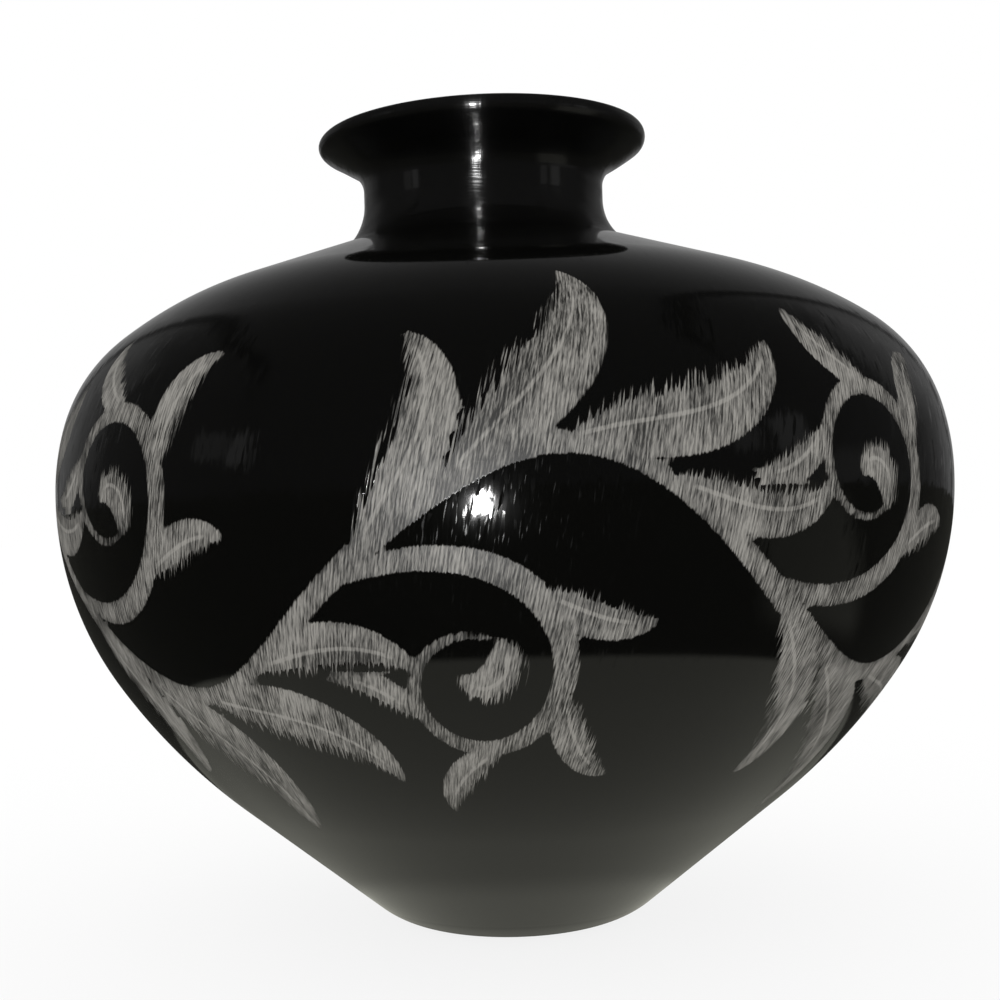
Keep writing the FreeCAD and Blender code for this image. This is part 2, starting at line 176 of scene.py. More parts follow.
# The leaf scroll runs round the belly in waves. Places on it are lengths round the belly
# and up the wall, angles are degrees off the level, and a leaf is a brush stroke.
REPEATS = 4
WAVE = ROUND * BELLY_RADIUS / REPEATS
SWING = 34 * MM           # height of a wave's crest over its middle
SCROLL_MIDDLE = -27 * MM  # the waves' middle, up from the belly seam
SCROLL_TURN = math.radians(18)   # where round the jar the first wave begins
STEM_WIDTH = 6.4 * MM
STEM_STRETCH = 1.2        # length of the stem's wave over its width, about
STROKE_TIP = 0.4 * MM     # half width at the very ends of a stroke
BEAD_STEP = 1.4 * MM      # step between the points of a stroke
WAVER = 1.5 * MM          # how far the hand strays from the even wave
BORDER = 8 * MM           # places further than this outside the scroll are all alike

# A stroke is the share of its parent's length where it leaves it, the angle by which it
# turns off it, its length, its bend (steady, growing) in degrees, its width, and the share
# of its length where it is fullest. Lengths and widths are in millimetres.
SHOOT = (0.0, -16, 196, (-150, -300), 6.6, 0.30)
STEM_LEAVES = [
    (0.035, 20, 66, (-40, 120), 18, 0.50),
    (0.135, 22, 80, (-62, 122), 24, 0.48),
    (0.260, 22, 74, (-66, 118), 21, 0.48),
    (0.375, 20, 56, (-40, 100), 15, 0.48),
]
SHOOT_LEAVES = [
    (0.30, 24, 36, (-40, 80), 12, 0.5),
    (0.46, 28, 38, (-30, 90), 13, 0.5),
    (0.60, 28, 36, (-30, 90), 12, 0.5),
    (0.74, 28, 32, (-30, 90), 10, 0.5),
    (0.97, -20, 26, (-160, -40), 13, 0.45),
]

# Colours and finishes
BLACK_CLAY = (0.0016, 0.0016, 0.0014, 1)
SMOKED_CLAY = (0.030, 0.028, 0.025, 1)    # where it isn't burnished
SMOKED_SLIP = (0.022, 0.020, 0.017, 1)
SMOKE_PATCH = 0.6         # the darker patches in both, as a share of their colour
SCRATCH_DARK = (0.022, 0.021, 0.018, 1)   # between the scratches
SCRATCH_PALE = (0.300, 0.288, 0.262, 1)   # in them
GLOSS_ROUGHNESS = 0.062
MARK_ROUGHNESS = 0.15     # what a fine mark adds to it
NECK_ROUGHNESS = 0.22     # of the wheel's grooves, under a finer polish
NECK_POLISH = (0.2, 0.6, 0.85, 0.0)   # that fades as the surface turns away, facing 0.2 to 0.6
MATTE_ROUGHNESS = 0.62
SCRATCH_ROUGHNESS = 0.5

# Facets: width, length and slant, and steady tilt, power and rare tilt to the side and up
BODY_FACETS = (0.8 * MM, 4.4 * MM, 0.16), ((0.004, 9, 0.07), (0.007, 7, 0.02))
NECK_FACETS = (1.0 * MM, 8 * MM, 0.12), ((0.005, 5, 0.020), (0.03, 3, 0.02))
# Where they fade, up from the belly seam, and what is left of them there
FACETS_HIGH = (70 * MM, 35 * MM, 0.08, 1.0)
FACETS_LOW = (-42 * MM, -22 * MM, 0.08, 1.0)
FACETS_NECK = (NECK_TOP_ALONG, NECK_TOP_ALONG + 12 * MM, 0.5, 1.0)

# Relief in the clay. A grain is its width, length and slant, and depths are in millimetres.
SLOW_GRAIN, SLOW_DEPTH = (6 * MM, 26 * MM, 0.1), 0.018
MARK_GRAIN, MARK_RANGE = (0.5 * MM, 4 * MM, 0.17), (0.66, 0.82)
WHEEL_RINGS = ((0.7 * MM, 0.14), (8.5 * MM, 0.50))   # pitch and depth
WHEEL_REACH = 60 * MM     # length along which a ring stays alike
RING_PITCH = 7 * MM       # rise of the potter's fingers in one turn, inside
RING_DEPTH, GRIT_DEPTH, GRIT_SCALE = 0.25, 0.12, 900.0
DENT_DEPTH, DENT_SCALE = 1.2, 90.0

# The scratches. A tone is 0 between them and 1 in them.
SCRATCH_SLANT = 0.20      # lean to the right, sideways over up
SCRATCHES_ROUND = 900     # scratches that would fill the hatching once round the belly
SCRATCH_DEPTH = 0.05
LINE_GRAIN, LINE_WAVER = (5 * MM, 16 * MM, SCRATCH_SLANT), 14
END_GRAIN, END_RANGE = (0.5 * MM, 9 * MM, SCRATCH_SLANT), (0.25, 0.75)
FEATHER = 0.75            # how far the cut reaches on the feathered side, over half width
RAGGED, OVERSHOOT = 0.45 * MM, 0.15 * MM         # and on the crisp side, and past it
EDGE_SOFT, FEATHER_SOFT = 0.3 * MM, 1.1 * MM     # softness of the edge, and more if feathered
RIB_WIDTH = (0.85 * MM, 0.25 * MM)               # a midrib fades out between these
RIB_GIRTH, RIB_INSIDE = (3.6 * MM, 5.2 * MM), (0.68, 0.84)   # and only broad leaves have it
RIB_TONE, LINE_TONE, SIDE_TONE = 0.42, 0.36, -0.16
DEPTH_TONE = (0.0, 2.2 * MM, 0.30, 0.46)         # from the scroll's border inwards
GIRTH_TONE = (0.5 * MM, 2.8 * MM, -0.2, 0.0)     # less on thin strokes
TONE_GRAINS = (           # strokes, their weave and large patches, with their tone
    ((0.4 * MM, 3.4 * MM, SCRATCH_SLANT), 2.2),
    ((0.9 * MM, 7 * MM, 0.8 * SCRATCH_SLANT), 1.4),
    ((12 * MM, 20 * MM, SCRATCH_SLANT), 1.5),
)

# The studio. Brightness 1 is the white behind the jar. Directions are degrees to the right
# of the front and up.
WHITE = (1, 1, 1, 1)
PALE = (0.93, 0.93, 0.93, 1)
WARM = (1, 1, 0.87, 1)    # tint of the table that the polish mirrors
SOFT_LIGHT = 1.1
FLOOR_SIDE = 12.0         # half the floor's side
FLOOR_WHITE = 0.85        # share of the white behind the jar in the floor's colour
ROOM_GLOW = 0.05          # what the polish mirrors: a dim tent
BACK_GLOW = 0.34          # with more light behind the jar
BACK_POWER = 5
BACK_RISE = (-14, 10, 0.25, 1.0)     # and less of that below the horizon
# Windows: across, up, half width, half height, brightness
WINDOWS = [(-66, 13, 3.2, 5, 0.20), (-75, 14, 4.5, 4, 0.10), (60, 14, 3.5, 5, 0.11),
           (73, 13, 5, 5.5, 0.17), (131, 24, 13, 12, 0.07), (-130, 18, 12, 14, 0.055),
           (84, 0, 13, 7, 0.06)]
WINDOW_SOFT = 0.35        # softness of a window's edge, as a share of its half size
# The arched seams of the mirrored tent: how high they rise at the left and right, where
# they are highest and how far to the sides they end, and the light left in them
SEAM_TOPS = (48, 63)
SEAM_MIDDLE, SEAM_REACH = 108, 43
SEAM_LIGHT = 0.35
SEAM_POWER = 3.5          # how square the arch is
SEAM_WIDTH = (0.26, 0.03)
SEAM_FRONT = (64, 76)     # where its front end fades out
# The mirrored table and the floor beyond it, by the distance from the jar's middle
TABLE_EDGE, TABLE_SOFT = 210 * MM, 5 * MM
TABLE_FRONT, TABLE_BACK, TABLE_FOOT = 0.36, 0.165, 0.14
TABLE_TURN = (80 * MM, -50 * MM)     # from back to front
FOOT_GLOW_OUT, FOOT_GLOW_IN = (64 * MM, 54 * MM), (38 * MM, 47 * MM)
FOOT_SHADE = (30 * MM, 44 * MM)
FLOOR_GLOW, HAZE_GLOW = 0.03, 0.15   # the haze is a part of the floor that shines more
HAZE_MIDDLE, HAZE_ACROSS, HAZE_START = 69, (20, 10), (235 * MM, 300 * MM)

LAMP_PLACE, LAMP_TARGET = (-0.089, -1.06, 0.0215), (0, -0.15, 0.137)
LAMP_SIZE, LAMP_POWER = (0.062, 0.108), 11.0
CAMERA_DISTANCE = 0.522
CAMERA_HEIGHT = 0.1364
CAMERA_YAW, CAMERA_PITCH, CAMERA_ROLL = 0.188, 0.66, 1.628

SEGMENTS = 512            # facets round every turned piece
WALL_ROW = 1.8 * MM       # height of a row of facets on the outside of the belly
INNER_ROW = 5.0 * MM      # and on its inside
FINE_ROW = 0.6 * MM       # rows of the small turned pieces
CORNER_ROWS = (0.1 * MM, 0.5 * MM)   # extra rows beside the end of a line or arc
CORNER_BEND = math.radians(20)       # a sharper bend than this is a corner


def smooth_step(value):
    """0 below 0, 1 above 1, and an even S between them."""
    value = np.clip(value, 0, 1)
    return value * value * (3 - 2 * value)


def line_or_arc(here, step, row):
    """Points from here, not included, to the end of one step of an outline.

    A step is its end point, and for an arc its centre too. The arc runs the short way
    round: centre + radius * (cos angle, sin angle), the angle growing evenly. Rows are
    evenly spaced, with closer ones beside both ends.
    """
    end = np.array(step[0])
    here = np.array(here)
    if len(step) == 1:
        length = np.hypot(*(end - here))
    else:
        centre = np.array(step[1])
        radius = np.hypot(*(here - centre))
        first = math.atan2(*(here - centre)[::-1])
        sweep = math.atan2(*(end - centre)[::-1]) - first
        sweep = (sweep + math.pi) % ROUND - math.pi
        length = abs(radius * sweep)
    count = max(1, round(length / row))
    places = [length * i / count for i in range(1, count + 1)]
    beside = [d for d in CORNER_ROWS if d < 0.4 * length / count]
    places = np.array(sorted(places + beside + [length - d for d in beside])) / length
    if len(step) == 1:
        return here + (end - here) * places[:, None]
    angles = first + sweep * places
    return centre + radius * np.c_[np.cos(angles), np.sin(angles)]


def outline(start, steps):
    """A closed outline of lines and arcs: its points, the length along it at each, and
    the number of the step that each belongs to.

    A step is (row, end) or (row, end, centre).
    """
    points = [np.array([start])]
    numbers = [[0]]
    for number, (row, *step) in enumerate(steps):
        places = line_or_arc(points[-1][-1], step, row)
        points.append(places)
        numbers.append([number] * len(places))
    points = np.vstack(points)
    numbers = np.concatenate(numbers)
    if np.hypot(*(points[-1] - points[0])) < 1e-9:
        points = points[:-1]
        numbers = numbers[:-1]
    path = np.hypot(*np.diff(points, axis=0).T)
    return points, np.r_[0, np.cumsum(path)], numbers


def stray(points):
    """Lean the neck and let the walls waver, so that the jar looks thrown by hand.

    The walls move in by about WOBBLE * (1 + a wave of the angle and height) / 2. Each uneven
    step grows along an even S of the height: the lean moves a point sideways, the sags
    move it down, and the tilt lifts it by tilt * x.
    """
    x, y, z = points.T
    angle = np.arctan2(y, x)
    wave = np.sin(2 * angle + 9 * z) + 0.6 * np.sin(3 * angle - 31 * z + 1)
    wave += 0.4 * np.sin(5 * angle + 67 * z + 2)
    radius = np.hypot(x, y)
    inward = 1 - WOBBLE * (2.6 + wave) / 4 / np.maximum(radius, THROAT)
    lean, sag, lip_sag, tilt = (
        size * smooth_step((z - start) / (full - start))
        for size, start, full in (LEAN, SHOULDER_SAG, LIP_SAG, LIP_TILT))
    return np.c_[x * inward + lean, y * inward, z + sag + lip_sag + tilt * x]


def turned(name, start, steps, burnished, along=0.0, at=None):
    """Turn a closed outline about the Z axis into one closed, outward-facing mesh.

    Vertex (row, column) is (r cos a, r sin a, z) with a = 2 pi column / SEGMENTS, passed
    through stray(). An outline that starts and ends on the axis gets a pole at each end.
    burnished holds the numbers of the steps that carry the glossy finish. along is the
    length up the jar's outside from the belly seam, at the end of step number at or else
    at the start.
    """
    section, path, numbers = outline(start, steps)
    path += along - (0 if at is None else path[np.flatnonzero(numbers == at)[-1]])
    poles = section[0][0] < 1e-9
    inner = slice(1, -1) if poles else slice(None)
    rings = section[inner]
    rows = len(rings)
    angle = ROUND * np.arange(SEGMENTS) / SEGMENTS
    flat = np.stack([np.cos(angle), np.sin(angle)], axis=1)
    grid = np.empty((rows, SEGMENTS, 3))
    grid[..., :2] = rings[:, :1, None] * flat
    grid[..., 2] = rings[:, 1:]
    place = np.empty((rows, SEGMENTS, 3))
    place[..., :2] = BELLY_RADIUS * flat
    place[..., 2] = path[inner, None]
    row, column = np.mgrid[0:rows - poles, 0:SEGMENTS]
    above = (row + 1) % rows
    beside = (column + 1) % SEGMENTS
    corners = [row * SEGMENTS + column, row * SEGMENTS + beside,
               above * SEGMENTS + beside, above * SEGMENTS + column]
    faces = np.stack(corners, axis=-1).reshape(-1, 4).tolist()
    points, place = grid.reshape(-1, 3), place.reshape(-1, 3)
    shiny = np.isin(numbers, burnished)
    shiny |= np.roll(shiny, -1)
    gloss = np.repeat(shiny[inner].astype(float), SEGMENTS)
    if poles:
        around = np.arange(SEGMENTS)
        following = (around + 1) % SEGMENTS
        last = (rows - 1) * SEGMENTS
        bottom, top = len(points), len(points) + 1
        faces += np.c_[np.full(SEGMENTS, bottom), following, around].tolist()
        faces += np.c_[np.full(SEGMENTS, top), last + around, last + following].tolist()
        points = np.vstack([points, [0, 0, section[0][1]], [0, 0, section[-1][1]]])
        place = np.vstack([place, [0, 0, path[0]], [0, 0, path[-1]]])
        gloss = np.r_[gloss, 0, 0]
    mesh = bpy.data.meshes.new(name)
    mesh.from_pydata(stray(points), [], faces)
    mesh.shade_smooth()
    mark_corners(mesh, rings, poles)
    store(mesh, "place", "FLOAT_VECTOR", place)
    store(mesh, "gloss", "FLOAT", gloss)
    piece = bpy.data.objects.new(name, mesh)
    bpy.context.scene.collection.objects.link(piece)
    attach(piece, "root")
    return piece


def store(mesh, name, kind, values):
    """Keep a value for every vertex, for the materials to read."""
    layer = mesh.attributes.new(name, kind, "POINT")
    field = "vector" if kind == "FLOAT_VECTOR" else "value"
    layer.data.foreach_set(field, np.ascontiguousarray(values, np.float32).ravel())


def mark_corners(mesh, rings, poles):
    """Mark the rings sharp where the outline bends by more than CORNER_BEND."""
    before = rings - np.roll(rings, 1, axis=0)
    after = np.roll(rings, -1, axis=0) - rings
    cross = before[:, 0] * after[:, 1] - before[:, 1] * after[:, 0]
    sharp = np.abs(np.arctan2(cross, (before * after).sum(1))) > CORNER_BEND
    if poles:
        sharp[[0, -1]] = False
    ends = np.empty(len(mesh.edges) * 2, np.int32)
    mesh.edges.foreach_get("vertices", ends)
    first, second = ends.reshape(-1, 2).T // SEGMENTS
    flags = (first == second) & (first < len(rings))
    flags &= sharp[np.minimum(first, len(rings) - 1)]
    marks = mesh.attributes.new("sharp_edge", "BOOLEAN", "EDGE")
    marks.data.foreach_set("value", flags)


def make_foot_ring():
    """The turned ring under the jar, rounded outside and bored through its middle."""
    flat_edge = FOOT_RADIUS - math.sqrt(FOOT_ARC**2 - (FOOT_ARC - FOOT_TOP) ** 2)
    piece = turned("turned_foot", (FOOT_BORE + FOOT_EASING, 0), [
        (FINE_ROW, (flat_edge, 0)),
        (FINE_ROW, (FOOT_RADIUS, FOOT_TOP), (flat_edge, FOOT_ARC)),
        (INNER_ROW, (FOOT_BORE, FOOT_TOP)),
        (FINE_ROW, (FOOT_BORE, FOOT_EASING)),
        (FINE_ROW, (FOOT_BORE + FOOT_EASING, 0), (FOOT_BORE + FOOT_EASING, FOOT_EASING)),
    ], [1], along=FOOT_ALONG - SLIP, at=1)
    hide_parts("foot_ring")
    return piece


def make_foot_slip():
    """The washer of slip between the foot and the bowl, wiped flush with both."""
    inside = FOOT_BORE + SLIP_SETBACK
    piece = turned("foot_slip_line", (inside, FOOT_TOP), [
        (INNER_ROW, (FOOT_RADIUS, FOOT_TOP)),
        (FINE_ROW, BOWL_EDGE),
        (INNER_ROW, (inside, BOWL_BASE)),
        (FINE_ROW, (inside, FOOT_TOP)),
    ], [1], along=FOOT_ALONG, at=1)
    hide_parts("foot_slip")
    return piece


def make_bowl():
    """The thrown lower half: floor, straight rising wall and the curve to the belly."""
    floor = BOWL_BASE + FLOOR_THICKNESS
    inner_foot = at_turn(LOW_WALL_CENTRE, LOW_WALL_ARC - WALL, LOW_WALL_TURN)
    cove_cut = FLOOR_COVE * math.tan(math.radians(LOW_WALL_TURN / 2))
    floor_edge = inner_foot[0] - (inner_foot[1] - floor) * LOW_WALL_SLOPE - cove_cut
    cove_centre = (floor_edge, floor + FLOOR_COVE)
    cove_top = at_turn(cove_centre, FLOOR_COVE, LOW_WALL_TURN)
    piece = turned("bowl_wall", (0, BOWL_BASE), [
        (INNER_ROW, BOWL_EDGE),
        (WALL_ROW, LOW_WALL_FOOT),
        (WALL_ROW, at_turn(LOW_BELLY_CENTRE, LOW_BELLY_ARC, LOW_BELLY_TURN),
         LOW_WALL_CENTRE),
        (WALL_ROW, SEAM_LOW_OUT, LOW_BELLY_CENTRE),
        (INNER_ROW, SEAM_LOW_IN),
        (INNER_ROW, at_turn(LOW_BELLY_CENTRE, LOW_BELLY_ARC - WALL, LOW_BELLY_TURN),
         LOW_BELLY_CENTRE),
        (INNER_ROW, inner_foot, LOW_WALL_CENTRE),
        (INNER_ROW, cove_top),
        (INNER_ROW, (floor_edge, floor), cove_centre),
        (INNER_ROW, (0, floor)),
    ], [1, 2, 3], along=0, at=3)
    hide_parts("lower_bowl")
    return piece


def make_belly_slip():
    """The slip in the bevelled belly seam, burnished over on the outside."""
    piece = turned("belly_slip_line", SEAM_LOW_OUT, [
        (FINE_ROW, SEAM_UP_OUT),
        (INNER_ROW, SEAM_UP_IN),
        (FINE_ROW, SEAM_LOW_IN),
        (INNER_ROW, SEAM_LOW_OUT),
    ], [0])
    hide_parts("belly_slip")
    return piece


def make_dome():
    """The thrown upper half: belly, bend and flat shoulder, with a hole for the neck."""
    top_inside = at_turn(SHOULDER_CENTRE, SHOULDER_ARC - WALL, SHOULDER_TURN)
    hole_bottom = top_inside[1] + (DOME_HOLE - top_inside[0]) * SHOULDER_FALL
    piece = turned("dome_wall", SEAM_UP_OUT, [
        (WALL_ROW, at_turn(UP_BELLY_CENTRE, UP_BELLY_ARC, UP_BELLY_TURN), UP_BELLY_CENTRE),
        (WALL_ROW, at_turn(BEND_CENTRE, BEND_ARC, BEND_TURN), BEND_CENTRE),
        (WALL_ROW, SHOULDER_TOP, SHOULDER_CENTRE),
        (WALL_ROW, shoulder_at(DOME_HOLE)),
        (INNER_ROW, (DOME_HOLE, hole_bottom)),
        (INNER_ROW, top_inside),
        (INNER_ROW, at_turn(BEND_CENTRE, BEND_ARC - WALL, BEND_TURN), SHOULDER_CENTRE),
        (INNER_ROW, at_turn(UP_BELLY_CENTRE, UP_BELLY_ARC - WALL, UP_BELLY_TURN),
         BEND_CENTRE),
        (INNER_ROW, SEAM_UP_IN, UP_BELLY_CENTRE),
        (INNER_ROW, SEAM_UP_OUT),
    ], [0, 1, 2, 3], along=SLIP)
    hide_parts("shoulder_dome")
    return piece


def make_neck_slip():
    """The slip under the neck's foot, wiped outside into a small cove.

    The cove is the arc that touches both the shoulder's slope and the foot of the neck.
    With the slopes' angles a and b, its radius is SLIP / (cos a - cos b - tan a (sin b -
    sin a)).
    """
    fall = 180 - SHOULDER_TURN
    rise = cosine(fall) - cosine(NECK_COVE_TURN)
    reach = sine(NECK_COVE_TURN) - sine(fall)
    cove = SLIP / (rise + SHOULDER_FALL * reach)
    share = cove / NECK_COVE
    centre = tuple(a + (b - a) * share for a, b in zip(NECK_FOOT_OUT, NECK_COVE_CENTRE))
    piece = turned("neck_slip_line", shoulder_at(DOME_HOLE), [
        (INNER_ROW, shoulder_at(NECK_FOOT_RADIUS + cove * reach)),
        (FINE_ROW, NECK_FOOT_OUT, centre),
        (INNER_ROW, NECK_FOOT_IN),
        (FINE_ROW, shoulder_at(DOME_HOLE)),
    ], [1], along=NECK_ALONG, at=1)
    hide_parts("neck_slip")
    return piece


def make_neck():
    """The waisted neck, flared at its foot to sit on the shoulder."""
    piece = turned("neck_wall", NECK_FOOT_OUT, [
        (FINE_ROW, (NECK_RADIUS, NECK_COVE_CENTRE[1]), NECK_COVE_CENTRE),
        (FINE_ROW, (NECK_RADIUS, NECK_TOP)),
        (FINE_ROW, (THROAT, NECK_TOP)),
        (FINE_ROW, (THROAT, THROAT_FLARE_CENTRE[1])),
        (FINE_ROW, NECK_FOOT_IN, THROAT_FLARE_CENTRE),
        (FINE_ROW, NECK_FOOT_OUT),
    ], [0, 1], along=NECK_ALONG)
    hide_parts("neck_collar")
    return piece


def make_neck_coil():
    """The small coil pressed over the inside of the neck seam, with a bulging face.

    Its face is an arc of radius NECK_COIL_BULGE whose centre lies outside the chord.
    """
    bottom = (DOME_HOLE, shoulder_at(DOME_HOLE)[1] - NECK_COIL_REACH)
    top = (THROAT_FLARE_CENTRE[0] - THROAT_FLARE * cosine(NECK_COIL_TURN),
           THROAT_FLARE_CENTRE[1] - THROAT_FLARE * sine(NECK_COIL_TURN))
    half = (top[0] - bottom[0]) / 2, (top[1] - bottom[1]) / 2
    chord = math.hypot(*half)
    back = math.sqrt(NECK_COIL_BULGE**2 - chord**2)
    centre = (bottom[0] + half[0] + back * half[1] / chord,
              bottom[1] + half[1] - back * half[0] / chord)
    piece = turned("neck_coil", bottom, [
        (FINE_ROW, NECK_FOOT_IN),
        (FINE_ROW, top, THROAT_FLARE_CENTRE),
        (FINE_ROW, bottom, centre),
    ], [], along=NECK_ALONG)
    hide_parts("neck_seam_coil")
    return piece


def make_lip_slip():
    """The washer of slip between neck and lip, burnished over on the outside."""
    piece = turned("lip_slip_line", (THROAT, NECK_TOP), [
        (FINE_ROW, (NECK_RADIUS, NECK_TOP)),
        (FINE_ROW, (NECK_RADIUS, LIP_BASE)),
        (FINE_ROW, (THROAT, LIP_BASE)),
        (FINE_ROW, (THROAT, NECK_TOP)),
    ], [1], along=NECK_TOP_ALONG, at=0)
    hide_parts("lip_slip")
    return piece


def make_lip():
    """The rolled lip: a hollow under it, a rounded edge, a crown and the throat's mouth."""
    bead_start = at_turn(LIP_BEAD_CENTRE, LIP_BEAD, LIP_RISE_TURN)
    cove_out = NECK_RADIUS + LIP_COVE * (1 - sine(LIP_RISE_TURN))
    fall = sine(LIP_RISE_TURN) / cosine(LIP_RISE_TURN)
    cove_end = (cove_out, bead_start[1] - (bead_start[0] - cove_out) * fall)
    cove_centre = (NECK_RADIUS + LIP_COVE, cove_end[1] - LIP_COVE * cosine(LIP_RISE_TURN))
    crown_centre = at_turn(LIP_BEAD_CENTRE, LIP_BEAD - LIP_CROWN_ARC, LIP_CROWN_TURN)
    crest = (crown_centre[0], crown_centre[1] + LIP_CROWN_ARC)
    mouth_centre = (crest[0], crest[1] - (crest[0] - THROAT))
    piece = turned("rolled_lip", (THROAT, LIP_BASE), [
        (FINE_ROW, (NECK_RADIUS, LIP_BASE)),
        (FINE_ROW, (NECK_RADIUS, cove_centre[1])),
        (FINE_ROW, cove_end, cove_centre),
        (FINE_ROW, bead_start),
        (FINE_ROW, at_turn(LIP_BEAD_CENTRE, LIP_BEAD, LIP_CROWN_TURN), LIP_BEAD_CENTRE),
        (FINE_ROW, crest, crown_centre),
        (FINE_ROW, (THROAT, mouth_centre[1]), mouth_centre),
        (FINE_ROW, (THROAT, LIP_BASE)),
    ], [1, 2, 3, 4, 5, 6], along=NECK_TOP_ALONG + SLIP, at=0)
    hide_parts("lip_ring")
    return piece


def brush(root, heading, length, bend, width, fullest):
    """A tapered stroke: its points, headings and half widths.

    The heading at share t is heading + steady t + growing t^2, the point is the sum of
    steps along it, and the half width is width / 2 * sin(pi t^p)^0.8 + STROKE_TIP, fullest
    at the given share.
    """
    count = int(length * MM / BEAD_STEP)
    t = np.linspace(0, 1, count)
    headings = np.radians(heading + bend[0] * t + bend[1] * t * t)
    step = length * MM / (count - 1)
    x = root[0] + step * np.r_[0, np.cumsum(np.cos(headings[:-1]))]
    v = root[1] + step * np.r_[0, np.cumsum(np.sin(headings[:-1]))]
    power = math.log(0.5) / math.log(fullest)
    half = width * MM / 2 * np.sin(np.pi * t**power) ** 0.8 + STROKE_TIP
    return np.c_[x, v], headings, half


def stem_stroke():
    """One wave of the stem: v = SWING * sin(2 pi share), a little fuller on the slopes, with
    half width STEM_WIDTH / 2 * (1 + 0.2 sin(4 pi share))."""
    share = np.arange(0, 1, BEAD_STEP / WAVE / STEM_STRETCH)
    x, v = WAVE * share, SWING * np.sin(ROUND * share)
    headings = np.arctan(SWING * ROUND / WAVE * np.cos(ROUND * share))
    half = STEM_WIDTH / 2 * (1 + 0.2 * np.sin(2 * ROUND * share))
    return np.c_[x, v], headings, half


def off_parent(parent, leaf):
    """A stroke that leaves its parent where and how the leaf says."""
    points, headings = parent[:2]
    share, turn, *stroke = leaf
    index = int(share * (len(points) - 1))
    return brush(points[index], math.degrees(headings[index]) + turn, *stroke)


def scroll_strokes():
    """Every stroke of one wave, with the side of it that is feathered: 1 its left, -1 its
    right, 0 neither. The second half wave is the first one turned over."""
    stem = stem_stroke()
    shoot = off_parent(stem, SHOOT)
    leaves = [off_parent(stem, leaf) for leaf in STEM_LEAVES]
    leaves += [off_parent(shoot, leaf) for leaf in SHOOT_LEAVES]
    over = [(*shoot, 0)] + [(*leaf, 1) for leaf in leaves]
    under = [(points * (1, -1) + (WAVE / 2, 0), -headings, half, -feathered)
             for points, headings, half, feathered in over]
    return [(*stem, 0)] + over + under


def scratch_scroll(piece):
    """Keep, for every vertex, how deep it lies inside the scroll and where in its stroke.

    Depth is the largest of half width - distance over the points of all strokes. Girth is
    the half width of the stroke that gives it, and side the distance from its middle as a
    share of that, towards the feathered side. A slow waver makes the waves differ.
    """
    mesh = piece.data
    place = np.empty(len(mesh.vertices) * 3, np.float32)
    mesh.attributes["place"].data.foreach_get("vector", place)
    cos_r, sin_r, v = place.reshape(-1, 3).T.astype(float)
    around = np.arctan2(sin_r, cos_r) + SCROLL_TURN
    v = v - SCROLL_MIDDLE
    x = around * BELLY_RADIUS + WAVER * np.sin(3 * around + 40 * v)
    v = v + WAVER * np.sin(2 * around + 1) + 0.5 * WAVER * np.sin(9 * around + 2)
    x = x % WAVE
    depth = np.full(len(v), -1.0)
    side = np.zeros(len(v))
    girth = np.zeros(len(v))
    for points, headings, half, feathered in scroll_strokes():
        for shift in (-WAVE, 0, WAVE):
            centres = points + (shift, 0)
            low = centres.min(0) - half.max() - BORDER
            high = centres.max(0) + half.max() + BORDER
            near = (x > low[0]) & (x < high[0]) & (v > low[1]) & (v < high[1])
            near = np.flatnonzero(near)
            if not len(near):
                continue
            off_x = x[near, None] - centres[:, 0]
            off_v = v[near, None] - centres[:, 1]
            inside = half - np.hypot(off_x, off_v)
            best = inside.argmax(1)
            pick = np.arange(len(near)), best
            better = inside[pick] > depth[near]
            left = off_v[pick] * np.cos(headings[best]) - off_x[pick] * np.sin(headings[best])
            chosen = near[better]
            depth[chosen] = inside[pick][better]
            girth[chosen] = half[best][better]
            side[chosen] = (feathered * left / half[best])[better]
    store(mesh, "depth", "FLOAT", np.maximum(depth, -BORDER))
    store(mesh, "girth", "FLOAT", girth)
    store(mesh, "side", "FLOAT", side)


def is_socket(value):
    """Whether a value is a node's socket, not a plain number or colour."""
    return isinstance(value, bpy.types.NodeSocket)


def owner(*values):
    """The node tree of the sockets among some values."""
    return next(value.id_data for value in values if is_socket(value))


def feed(sockets, values):
    """Link or set every socket that has a value under its name or number."""
    for name, value in values.items():
        if is_socket(value):
            owner(value).links.new(value, sockets[name])
        else:
            sockets[name].default_value = value


def node(tree, kind, inputs=None, **settings):
    """Add a node with its settings, and link or set its inputs."""
    item = tree.nodes.new(kind)
    for name, value in settings.items():
        setattr(item, name, value)
    feed(item.inputs, inputs or {})
    return item


def calc(operation, *values, clamp=False):
    """A Math node's result."""
    return node(owner(*values), "ShaderNodeMath", dict(enumerate(values)),
                operation=operation, use_clamp=clamp).outputs[0]


def times(first, *others):
    """The product of several numbers."""
    for other in others:
        first = calc("MULTIPLY", first, other)
    return first


def scaled(value, by, plus):
    """value * by + plus."""
    return calc("MULTIPLY_ADD", value, by, plus)


def away(value, middle):
    """How far a number lies from a middle one, to either side."""
    return calc("ABSOLUTE", calc("SUBTRACT", value, middle))


def between(share, first, second):
    """A number between two: first + share * (second - first)."""
    plain = not is_socket(first) and not is_socket(second)
    span = second - first if plain else calc("SUBTRACT", second, first)
    return scaled(share, span, first)


def aim(operation, *values):
    """A Vector Math node's result."""
    names = ["Vector", "Scale"] if operation == "SCALE" else [0, 1, 2]
    item = node(owner(*values), "ShaderNodeVectorMath", dict(zip(names, values)),
                operation=operation)
    return item.outputs["Value" if operation == "LENGTH" else "Vector"]


